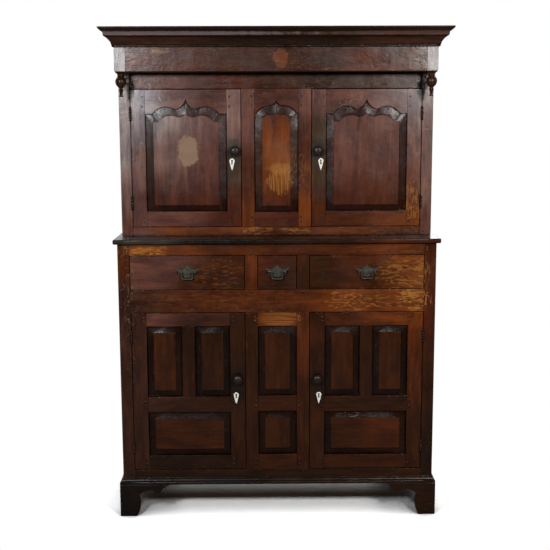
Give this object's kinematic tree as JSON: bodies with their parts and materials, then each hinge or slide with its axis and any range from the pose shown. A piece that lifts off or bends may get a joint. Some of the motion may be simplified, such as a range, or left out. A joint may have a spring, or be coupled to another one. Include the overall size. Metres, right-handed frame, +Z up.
{
  "type": "court cupboard",
  "caption": "Two-stage oak press cupboard with panelled doors, a frieze with turned drops, drawers above panelled lower doors and bracket feet.",
  "frame": {"origin": "middle of the footprint of the whole cupboard, on the floor", "axes": "+Z up, +X to the viewer's right, +Y from the front to the back"},
  "size_m": [1.285, 0.537, 1.851],
  "materials": {
    "oak": "waxed and worn dark red-brown oak",
    "oak_inside": "dry unpolished oak",
    "dark_wood": "polished dark turned wood",
    "bone": "aged bone, satin",
    "iron": "dark forged iron",
    "bronze": "dull greenish brown patina"
  },
  "bodies": {
    "case": {"lower_front_stiles": "oak", "lower_front_rails": "oak", "lower_centre_frame": "oak", "upper_front_stiles": "oak", "upper_front_rails": "oak", "upper_centre_frame": "oak", "centre_panels": "oak", "lower_side_rails": "oak", "lower_side_panels": "oak", "upper_side_rails": "oak", "upper_side_panels": "oak", "lower_back_frame": "oak_inside", "upper_back_frame": "oak_inside", "back_boards": "oak_inside", "inner_boards": "oak_inside", "drawer_runners": "oak_inside", "waist_board": "oak", "base_moulding": "oak", "bracket_feet": "oak", "frieze": "oak", "pendants": "oak", "cornice_moulding": "oak", "roof_boards": "oak_inside", "case_hinge_leaves": "iron"},
    "upper_left_door": {"upper_left_door_frame": "oak", "upper_left_door_panel": "oak", "upper_left_door_escutcheon": "bone", "upper_left_door_ironwork": "iron"},
    "upper_left_knob": {"upper_left_door_knob": "dark_wood"},
    "upper_left_bolt": {"upper_left_lock_bolt": "iron"},
    "upper_right_door": {"upper_right_door_frame": "oak", "upper_right_door_panel": "oak", "upper_right_door_escutcheon": "bone", "upper_right_door_ironwork": "iron"},
    "upper_right_knob": {"upper_right_door_knob": "dark_wood"},
    "upper_right_bolt": {"upper_right_lock_bolt": "iron"},
    "lower_left_door": {"lower_left_door_frame": "oak", "lower_left_door_panel": "oak", "lower_left_door_escutcheon": "bone", "lower_left_door_ironwork": "iron"},
    "lower_left_knob": {"lower_left_door_knob": "dark_wood"},
    "lower_left_bolt": {"lower_left_lock_bolt": "iron"},
    "lower_right_door": {"lower_right_door_frame": "oak", "lower_right_door_panel": "oak", "lower_right_door_escutcheon": "bone", "lower_right_door_ironwork": "iron"},
    "lower_right_knob": {"lower_right_door_knob": "dark_wood"},
    "lower_right_bolt": {"lower_right_lock_bolt": "iron"},
    "left_drawer": {"left_drawer_front": "oak", "left_drawer_box": "oak_inside", "left_handle_plate": "bronze"},
    "left_handle": {"left_bail": "bronze"},
    "centre_drawer": {"centre_drawer_front": "oak", "centre_drawer_box": "oak_inside", "centre_handle_plate": "bronze"},
    "centre_handle": {"centre_bail": "bronze"},
    "right_drawer": {"right_drawer_front": "oak", "right_drawer_box": "oak_inside", "right_handle_plate": "bronze"},
    "right_handle": {"right_bail": "bronze"}
  },
  "joints": [
    {"name": "upper_left_door_swing", "type": "hinge", "parent": "case", "child": "upper_left_door", "pos_m": [-0.54888, -0.1275, 1.113], "axis": [0, 0, -1], "range_deg": [0, 95]},
    {"name": "upper_left_knob_turn", "type": "hinge", "parent": "upper_left_door", "child": "upper_left_knob", "pos_m": [-0.15725, -0.1245, 1.4025], "axis": [0, 1, 0], "range_deg": [0, 90]},
    {"name": "upper_left_bolt_throw", "type": "slide", "parent": "upper_left_door", "child": "upper_left_bolt", "axis": [1, 0, 0], "range_m": [0, 0.012]},
    {"name": "upper_right_door_swing", "type": "hinge", "parent": "case", "child": "upper_right_door", "pos_m": [0.54888, -0.1275, 1.113], "axis": [0, 0, 1], "range_deg": [0, 95]},
    {"name": "upper_right_knob_turn", "type": "hinge", "parent": "upper_right_door", "child": "upper_right_knob", "pos_m": [0.15725, -0.1245, 1.4025], "axis": [0, -1, 0], "range_deg": [0, 90]},
    {"name": "upper_right_bolt_throw", "type": "slide", "parent": "upper_right_door", "child": "upper_right_bolt", "axis": [-1, 0, 0], "range_m": [0, 0.012]},
    {"name": "lower_left_door_swing", "type": "hinge", "parent": "case", "child": "lower_left_door", "pos_m": [-0.55188, -0.2345, 0.183], "axis": [0, 0, -1], "range_deg": [0, 170]},
    {"name": "lower_left_knob_turn", "type": "hinge", "parent": "lower_left_door", "child": "lower_left_knob", "pos_m": [-0.15125, -0.2315, 0.543], "axis": [0, 1, 0], "range_deg": [0, 90]},
    {"name": "lower_left_bolt_throw", "type": "slide", "parent": "lower_left_door", "child": "lower_left_bolt", "axis": [1, 0, 0], "range_m": [0, 0.012]},
    {"name": "lower_right_door_swing", "type": "hinge", "parent": "case", "child": "lower_right_door", "pos_m": [0.55188, -0.2345, 0.183], "axis": [0, 0, 1], "range_deg": [0, 170]},
    {"name": "lower_right_knob_turn", "type": "hinge", "parent": "lower_right_door", "child": "lower_right_knob", "pos_m": [0.15125, -0.2315, 0.543], "axis": [0, -1, 0], "range_deg": [0, 90]},
    {"name": "lower_right_bolt_throw", "type": "slide", "parent": "lower_right_door", "child": "lower_right_bolt", "axis": [-1, 0, 0], "range_m": [0, 0.012]},
    {"name": "left_drawer_slide", "type": "slide", "parent": "case", "child": "left_drawer", "axis": [0, -1, 0], "range_m": [0, 0.33]},
    {"name": "left_bail_swing", "type": "hinge", "parent": "left_drawer", "child": "left_handle", "pos_m": [-0.337, -0.2441, 0.958], "axis": [-1, 0, 0], "range_deg": [0, 80]},
    {"name": "centre_drawer_slide", "type": "slide", "parent": "case", "child": "centre_drawer", "axis": [0, -1, 0], "range_m": [0, 0.33]},
    {"name": "centre_bail_swing", "type": "hinge", "parent": "centre_drawer", "child": "centre_handle", "pos_m": [0, -0.2441, 0.958], "axis": [-1, 0, 0], "range_deg": [0, 80]},
    {"name": "right_drawer_slide", "type": "slide", "parent": "case", "child": "right_drawer", "axis": [0, -1, 0], "range_m": [0, 0.33]},
    {"name": "right_bail_swing", "type": "hinge", "parent": "right_drawer", "child": "right_handle", "pos_m": [0.337, -0.2441, 0.958], "axis": [-1, 0, 0], "range_deg": [0, 80]}
  ]
}
